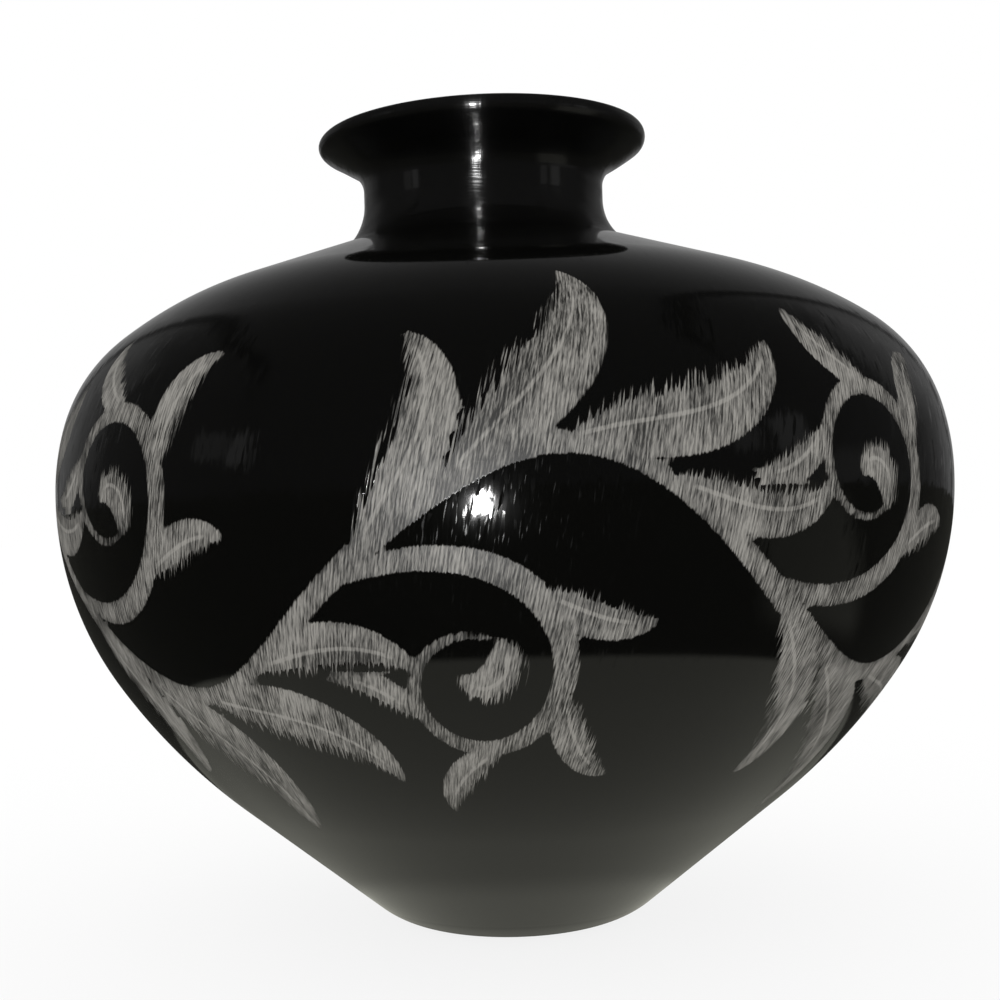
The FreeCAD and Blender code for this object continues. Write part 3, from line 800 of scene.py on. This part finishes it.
def ramp(value, low, high, to_low=0.0, to_high=1.0):
    """Value taken from low..high to to_low..to_high along an even S."""
    inputs = {"Value": value, "From Min": low, "From Max": high, "To Min": to_low,
              "To Max": to_high}
    item = node(owner(value), "ShaderNodeMapRange", inputs, interpolation_type="SMOOTHSTEP")
    return item.outputs["Result"]


def blend(share, first, second):
    """A colour between two."""
    inputs = {0: share, 6: first, 7: second}
    return node(owner(share), "ShaderNodeMix", inputs, data_type="RGBA").outputs[2]


def parts(vector):
    """The X, Y and Z of a vector."""
    return node(owner(vector), "ShaderNodeSeparateXYZ", {"Vector": vector}).outputs


def effect(name, inputs, outputs):
    """A node group with named inputs and outputs: its tree, its inputs and its result.

    Place and Normal are vectors and the others numbers.
    """
    tree = bpy.data.node_groups.new(name, "ShaderNodeTree")
    for labels, way in ((inputs, "INPUT"), (outputs, "OUTPUT")):
        for label in labels.split():
            kind = "Vector" if label in ("Place", "Normal") else "Float"
            tree.interface.new_socket(label, in_out=way, socket_type=f"NodeSocket{kind}")
    given = tree.nodes.new("NodeGroupInput").outputs
    result = tree.nodes.new("NodeGroupOutput").inputs
    return tree, given, result


def use(tree, group, **inputs):
    """Place a node group in a material."""
    return node(tree, "ShaderNodeGroup", inputs, node_tree=group).outputs


def attribute(tree, name, output="Fac"):
    """A value that the meshes keep for every vertex."""
    return node(tree, "ShaderNodeAttribute", attribute_name=name).outputs[output]


def noise(place, **inputs):
    """Soft noise over a place, with grains one unit wide unless a scale is given."""
    inputs = {"Vector": place, "Scale": 1.0, **inputs}
    return node(owner(place), "ShaderNodeTexNoise", inputs).outputs[0]


def stretched(place, size):
    """The place measured in grains of a size."""
    inputs = {"Vector": place, "Scale": tuple(1 / length for length in size)}
    return node(owner(place), "ShaderNodeMapping", inputs).outputs[0]


def drawn_out(place, width, length, slant):
    """The place in grains of a width and length, leaning to the right by the slant.

    The place is (R cos a, R sin a, length up the wall). Turning it about Z by
    slant * length / R makes the grains lean.
    """
    angle = times(parts(place)["Z"], -slant / BELLY_RADIUS)
    leaning = node(owner(place), "ShaderNodeVectorRotate", {"Vector": place, "Angle": angle},
                   rotation_type="Z_AXIS").outputs[0]
    return stretched(leaning, (width, width, length))


def streaks(place, grain, detail=2.0):
    """Noise drawn out up the wall."""
    return noise(drawn_out(place, *grain), Detail=detail, Roughness=0.6)


def burnish_facets(name, grain, tilts):
    """The narrow upright facets that the burnishing stone leaves.

    Each cell of a drawn-out Voronoi pattern turns the normal by its own small angles, to
    the side and up. Each angle is steady * a + rare * a^power, with a from -1 to 1, so most
    facets hardly turn and a few turn far. The tilts hold steady, power and rare for both.
    """
    tree, given, result = effect(name, "Place Amount", "Normal")
    inputs = {"Vector": drawn_out(given["Place"], *grain), "Scale": 1.0}
    chance = parts(node(tree, "ShaderNodeTexVoronoi", inputs).outputs["Color"])
    normal = node(tree, "ShaderNodeNewGeometry").outputs["Normal"]
    around = aim("NORMALIZE", aim("CROSS_PRODUCT", (0, 0, 1), normal))
    up = aim("CROSS_PRODUCT", normal, around)
    turned_normal = normal
    for axis, direction, (steady, power, rare) in zip("XY", (around, up), tilts):
        even = scaled(chance[axis], 2, -1)
        far = times(calc("POWER", even, power), rare)
        turn = times(scaled(even, steady, far), given["Amount"])
        turned_normal = aim("ADD", turned_normal, aim("SCALE", direction, turn))
    feed(result, {"Normal": aim("NORMALIZE", turned_normal)})
    return tree


def burnish_marks():
    """The slow unevenness under the polish, and sparse fine marks in it."""
    tree, given, result = effect("burnish_marks", "Place", "Height Marks")
    slow = streaks(given["Place"], SLOW_GRAIN)
    fine = streaks(given["Place"], MARK_GRAIN, detail=0.0)
    feed(result, {"Height": times(slow, SLOW_DEPTH), "Marks": ramp(fine, *MARK_RANGE)})
    return tree


def wheel_marks():
    """Fine rings round the neck and lip, burnished on the wheel."""
    tree, given, result = effect("wheel_marks", "Place", "Height")
    heights = []
    for pitch, depth in WHEEL_RINGS:
        rings = stretched(given["Place"], (WHEEL_REACH, WHEEL_REACH, pitch))
        heights.append(times(noise(rings, Detail=1.0), depth))
    feed(result, {"Height": calc("ADD", *heights)})
    return tree


def regular_lines(place):
    """Upright lines a scratch apart round the jar.

    They are (1 + sin(n (angle - slant * height / R) + waver)) / 2, for n scratches round.
    """
    corner = parts(place)
    angle = calc("ARCTAN2", corner["Y"], corner["X"])
    waver = times(streaks(place, LINE_GRAIN), LINE_WAVER)
    lean = scaled(corner["Z"], -SCRATCH_SLANT * SCRATCHES_ROUND / BELLY_RADIUS, waver)
    return scaled(calc("SINE", scaled(angle, SCRATCHES_ROUND, lean)), 0.5, 0.5)


def hatching():
    """Short upright scratches that fill the scroll.

    A point is scratched where its depth in the scroll, less a streaky cut, is over zero.
    The cut is slight at a stroke's crisp side and reaches FEATHER of its half width on the
    feathered side. The tone grows inwards from the border and with the girth, is palest at
    the crisp side and along a broad leaf's midrib, and every pattern adds
    amount * (pattern - 0.5) to it.
    """
    tree, given, result = effect("scratched_hatching", "Place Depth Side Girth",
                                 "Mask Tone Height")
    place, depth, side, girth = (given[name] for name in ("Place", "Depth", "Side", "Girth"))
    ends = ramp(streaks(place, END_GRAIN, detail=0.0), *END_RANGE)
    feathered = ramp(side, 0.0, 0.9)
    cut = times(ends, calc("ADD", times(feathered, FEATHER, girth), RAGGED))
    left = calc("SUBTRACT", calc("ADD", depth, OVERSHOOT), cut)
    mask = ramp(left, -EDGE_SOFT, scaled(feathered, FEATHER_SOFT, EDGE_SOFT))
    from_middle = calc("ABSOLUTE", times(side, girth))
    inside = calc("DIVIDE", depth, calc("MAXIMUM", girth, 1 * MM))
    rib = times(ramp(from_middle, *RIB_WIDTH), ramp(girth, *RIB_GIRTH),
                ramp(inside, *RIB_INSIDE))
    tone = calc("ADD", ramp(depth, *DEPTH_TONE), ramp(girth, *GIRTH_TONE))
    tone = scaled(side, SIDE_TONE, tone)
    patterns = [(streaks(place, grain), amount) for grain, amount in TONE_GRAINS]
    for pattern, amount in patterns + [(regular_lines(place), LINE_TONE)]:
        tone = scaled(calc("SUBTRACT", pattern, 0.5), amount, tone)
    tone = calc("MULTIPLY_ADD", rib, RIB_TONE, tone, clamp=True)
    feed(result, {"Mask": mask, "Tone": tone, "Height": times(mask, tone, -SCRATCH_DEPTH)})
    return tree


def throwing_rings():
    """The rings that a potter's fingers leave inside, a slow spiral of ridges."""
    tree, given, result = effect("throwing_rings", "Place", "Height Tone")
    place = parts(given["Place"])
    turns = scaled(place["Z"], ROUND / RING_PITCH, calc("ARCTAN2", place["Y"], place["X"]))
    grit = noise(given["Place"], Scale=GRIT_SCALE, Detail=3.0)
    height = scaled(calc("SINE", turns), RING_DEPTH, times(grit, GRIT_DEPTH))
    feed(result, {"Height": height, "Tone": grit})
    return tree


def clay_shader(name):
    """A new material: itself, its tree and its shader."""
    material = bpy.data.materials.new(name)
    material.use_nodes = True
    return material, material.node_tree, material.node_tree.nodes["Principled BSDF"]


def raw_skin(rings, colour):
    """Matte smoked clay, a little uneven in tone."""
    darker = tuple(SMOKE_PATCH * c for c in colour[:3]) + (1,)
    return blend(rings["Tone"], colour, darker)


def bump(height, **normal):
    """The normal that a height in millimetres gives, over another normal or the mesh's."""
    inputs = {"Height": height, "Distance": MM, "Strength": 1.0, **normal}
    return node(owner(height), "ShaderNodeBump", inputs).outputs["Normal"]


def burnished(name, groups, raw_colour):
    """Smoke-blackened clay of the body: glossy where it is burnished, matte elsewhere, and
    scratched through to a paler grey where the scroll runs."""
    material, tree, shader = clay_shader(name)
    place = attribute(tree, "place", "Vector")
    gloss = attribute(tree, "gloss")
    marks = use(tree, groups["marks"], Place=place)
    rings = use(tree, groups["rings"], Place=place)
    scroll = {value: attribute(tree, value.lower()) for value in ("Depth", "Side", "Girth")}
    scratch = use(tree, groups["hatching"], Place=place, **scroll)
    mask = times(scratch["Mask"], gloss)
    scratched = blend(scratch["Tone"], SCRATCH_DARK, SCRATCH_PALE)
    skin = blend(gloss, raw_skin(rings, raw_colour), BLACK_CLAY)
    polished = scaled(marks["Marks"], MARK_ROUGHNESS, GLOSS_ROUGHNESS)
    roughness = between(gloss, MATTE_ROUGHNESS, polished)
    up = parts(place)["Z"]
    smooth = times(gloss, calc("SUBTRACT", 1, mask))
    amount = times(smooth, ramp(up, *FACETS_HIGH), ramp(up, *FACETS_LOW))
    facets = use(tree, groups["facets"], Place=place, Amount=amount)
    height = between(gloss, rings["Height"], marks["Height"])
    height = scaled(scratch["Height"], gloss, height)
    feed(shader.inputs, {"Base Color": blend(mask, skin, scratched),
                         "Roughness": between(mask, roughness, SCRATCH_ROUGHNESS),
                         "Normal": bump(height, Normal=facets["Normal"])})
    return material


def wheel_burnished(name, groups, raw_colour):
    """The same clay on the neck and lip, burnished round and round.

    Its fine grooves draw the shine out up and down. A finer polish lies over them, with
    weight NECK_POLISH by how far the surface turns away.
    """
    material, tree, shader = clay_shader(name)
    place = attribute(tree, "place", "Vector")
    gloss = attribute(tree, "gloss")
    rings = use(tree, groups["rings"], Place=place)
    wheel = use(tree, groups["wheel"], Place=place)
    amount = times(gloss, ramp(parts(place)["Z"], *FACETS_NECK))
    facets = use(tree, groups["neck_facets"], Place=place, Amount=amount)
    facing = node(tree, "ShaderNodeLayerWeight", {"Blend": 0.5}).outputs["Facing"]
    tangent = node(tree, "ShaderNodeTangent", direction_type="RADIAL", axis="Z").outputs[0]
    height = between(gloss, rings["Height"], wheel["Height"])
    feed(shader.inputs, {"Base Color": blend(gloss, raw_skin(rings, raw_colour), BLACK_CLAY),
                         "Roughness": between(gloss, MATTE_ROUGHNESS, NECK_ROUGHNESS),
                         "Anisotropic": 1.0, "Anisotropic Rotation": 0.25,
                         "Tangent": tangent, "Coat Roughness": GLOSS_ROUGHNESS,
                         "Coat Weight": times(gloss, ramp(facing, *NECK_POLISH)),
                         "Normal": bump(height, Normal=facets["Normal"])})
    return material


def bare(name, groups, raw_colour):
    """Matte smoked clay, pressed on by hand, for the coils inside."""
    material, tree, shader = clay_shader(name)
    place = node(tree, "ShaderNodeTexCoord").outputs["Object"]
    rings = use(tree, groups["rings"], Place=place)
    height = scaled(noise(place, Scale=DENT_SCALE), DENT_DEPTH, rings["Height"])
    feed(shader.inputs, {"Base Color": raw_skin(rings, raw_colour),
                         "Roughness": scaled(rings["Tone"], 0.2, MATTE_ROUGHNESS - 0.1),
                         "Normal": bump(height)})
    return material


def azimuth_of(direction):
    """Degrees to the right of the front: atan2(x, -y)."""
    return calc("DEGREES", calc("ARCTAN2", direction["X"], times(direction["Y"], -1)))


def window(azimuth, elevation, view):
    """The brightness of one soft-edged window in the mirrored room."""
    across, up, half_width, half_height, level = view
    for value, middle, half in ((azimuth, across, half_width), (elevation, up, half_height)):
        inside = ramp(away(value, middle), half * (1 + WINDOW_SOFT), half * (1 - WINDOW_SOFT))
        level = times(inside, level)
    return level


def tent_seams(azimuth, elevation):
    """How much light is left beside the dark seams that bound the tent's side panels.

    A seam is an arch where a^p + e^p = 1, for the power p, with e the elevation as a share
    of its top and a the azimuth from SEAM_MIDDLE as a share of SEAM_REACH.
    """
    top = between(ramp(azimuth, -5, 5), *SEAM_TOPS)
    sideways = calc("ABSOLUTE", azimuth)
    terms = []
    for distance, whole in ((away(sideways, SEAM_MIDDLE), SEAM_REACH), (elevation, top)):
        share = calc("DIVIDE", calc("MAXIMUM", distance, 0), whole)
        terms.append(calc("POWER", share, SEAM_POWER))
    near = ramp(away(calc("ADD", *terms), 1), *SEAM_WIDTH)
    return scaled(times(near, ramp(sideways, *SEAM_FRONT)), SEAM_LIGHT - 1, 1)


def make_world():
    """White to the eye and even for soft light. The polish mirrors a dim tent instead:
    brighter straight behind the jar, as BACK_GLOW * y^5, with dark seams and a few windows."""
    world = bpy.data.worlds.new("studio")
    bpy.context.scene.world = world
    world.use_nodes = True
    tree = world.node_tree
    tree.nodes.clear()
    direction = parts(node(tree, "ShaderNodeTexCoord").outputs["Generated"])
    azimuth = azimuth_of(direction)
    elevation = calc("DEGREES", calc("ARCSINE", direction["Z"]))
    behind = calc("POWER", calc("MAXIMUM", direction["Y"], 0), BACK_POWER)
    glow = scaled(times(behind, ramp(elevation, *BACK_RISE)), BACK_GLOW, ROOM_GLOW)
    for view in WINDOWS:
        glow = calc("ADD", glow, window(azimuth, elevation, view))
    glow = times(glow, tent_seams(azimuth, elevation))
    rays = node(tree, "ShaderNodeLightPath").outputs
    strength = between(rays["Is Glossy Ray"], SOFT_LIGHT, glow)
    strength = between(rays["Is Camera Ray"], strength, 1.0)
    background = node(tree, "ShaderNodeBackground", {"Color": WHITE, "Strength": strength})
    node(tree, "ShaderNodeOutputWorld", {"Surface": background.outputs[0]})


def table_glow(spot):
    """How bright the floor looks in the polish: a round table top in a dim room, brighter
    in front and close to the foot, and a haze on the floor to the right."""
    flat = parts(spot)
    distance = aim("LENGTH", spot)
    glow = between(ramp(flat["Y"], *TABLE_TURN), TABLE_BACK, TABLE_FRONT)
    foot = times(ramp(distance, *FOOT_GLOW_OUT), TABLE_FOOT, ramp(distance, *FOOT_GLOW_IN))
    glow = times(calc("ADD", glow, foot), ramp(distance, *FOOT_SHADE))
    off = away(azimuth_of(flat), HAZE_MIDDLE)
    haze = times(ramp(off, *HAZE_ACROSS), ramp(distance, *HAZE_START))
    top = ramp(distance, TABLE_EDGE + TABLE_SOFT, TABLE_EDGE - TABLE_SOFT)
    return between(top, between(haze, FLOOR_GLOW, HAZE_GLOW), glow)


def shining(tree, colour, strength):
    """A shader that gives off light."""
    return node(tree, "ShaderNodeEmission", {"Color": colour, "Strength": strength}).outputs[0]


def mixed(share, first, second):
    """A shader between two."""
    inputs = {0: share, 1: first, 2: second}
    return node(owner(first), "ShaderNodeMixShader", inputs).outputs[0]


def make_floor():
    """A wide pale floor, with a faint shadow round the foot. The polish mirrors
    table_glow instead."""
    mesh = bpy.data.meshes.new("floor")
    side = FLOOR_SIDE
    corners = [(-side, -side, 0), (side, -side, 0), (side, side, 0), (-side, side, 0)]
    mesh.from_pydata(corners, [], [(0, 1, 2, 3)])
    floor = bpy.data.objects.new("floor", mesh)
    bpy.context.scene.collection.objects.link(floor)
    material = bpy.data.materials.new("pale_floor")
    material.use_nodes = True
    tree = material.node_tree
    tree.nodes.clear()
    pale = node(tree, "ShaderNodeBsdfDiffuse", {"Color": PALE}).outputs[0]
    seen = mixed(FLOOR_WHITE, pale, shining(tree, WHITE, 1.0))
    spot = node(tree, "ShaderNodeTexCoord").outputs["Object"]
    rays = node(tree, "ShaderNodeLightPath").outputs
    shown = mixed(rays["Is Camera Ray"], pale, seen)
    shown = mixed(rays["Is Glossy Ray"], shown, shining(tree, WARM, table_glow(spot)))
    node(tree, "ShaderNodeOutputMaterial", {"Surface": shown})
    mesh.materials.append(material)


def make_lamp():
    """A rectangular lamp that only reflections see, for the highlight on belly and neck."""
    light = bpy.data.lights.new("belly_light", "AREA")
    light.shape = "RECTANGLE"
    light.size, light.size_y = LAMP_SIZE
    light.energy = LAMP_POWER
    lamp = bpy.data.objects.new("belly_light", light)
    lamp.location = LAMP_PLACE
    towards = Vector(LAMP_TARGET) - Vector(LAMP_PLACE)
    lamp.rotation_euler = towards.to_track_quat("-Z", "Y").to_euler()
    lamp.visible_camera = False
    lamp.visible_diffuse = False
    bpy.context.scene.collection.objects.link(lamp)


def make_camera():
    """The photograph's view: level, a little to the left and rolled."""
    lens = bpy.data.cameras.new("camera")
    lens.sensor_width = 36
    lens.lens = 54
    lens.clip_start = 0.01
    camera = bpy.data.objects.new("camera", lens)
    camera.location = (0, -CAMERA_DISTANCE, CAMERA_HEIGHT)
    turn = Matrix.Rotation(math.radians(CAMERA_YAW), 4, "Z")
    tilt = Matrix.Rotation(math.radians(90 + CAMERA_PITCH), 4, "X")
    roll = Matrix.Rotation(math.radians(-CAMERA_ROLL), 4, "Z")
    camera.rotation_euler = (turn @ tilt @ roll).to_euler()
    bpy.context.scene.collection.objects.link(camera)
    bpy.context.scene.camera = camera


body = [make_bowl(), make_belly_slip(), make_dome()]
for piece in body:
    scratch_scroll(piece)
feet = [make_foot_ring(), make_foot_slip()]
for piece in feet:
    store(piece.data, "depth", "FLOAT", np.full(len(piece.data.vertices), -BORDER))
necks = [make_neck_slip(), make_neck(), make_lip_slip(), make_lip()]
coils = [make_neck_coil(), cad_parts["belly_seam_coil"]]
groups = {"facets": burnish_facets("burnish_facets", *BODY_FACETS),
          "neck_facets": burnish_facets("neck_facets", *NECK_FACETS),
          "marks": burnish_marks(), "wheel": wheel_marks(),
          "hatching": hatching(), "rings": throwing_rings()}
body_clay = burnished("burnished_clay", groups, SMOKED_CLAY)
body_slip = burnished("fired_slip", groups, SMOKED_SLIP)
neck_clay = wheel_burnished("burnished_neck", groups, SMOKED_CLAY)
neck_slip = wheel_burnished("fired_neck_slip", groups, SMOKED_SLIP)
coil_clay = bare("bare_clay", groups, SMOKED_CLAY)
for pieces, clay, slip in ((body + feet, body_clay, body_slip), (necks, neck_clay, neck_slip),
                           (coils, coil_clay, coil_clay)):
    for piece in pieces:
        piece.data.materials.clear()
        piece.data.materials.append(slip if "slip" in piece.name else clay)
make_world()
make_floor()
make_camera()
make_lamp()
bpy.context.scene.view_settings.view_transform = "Standard"
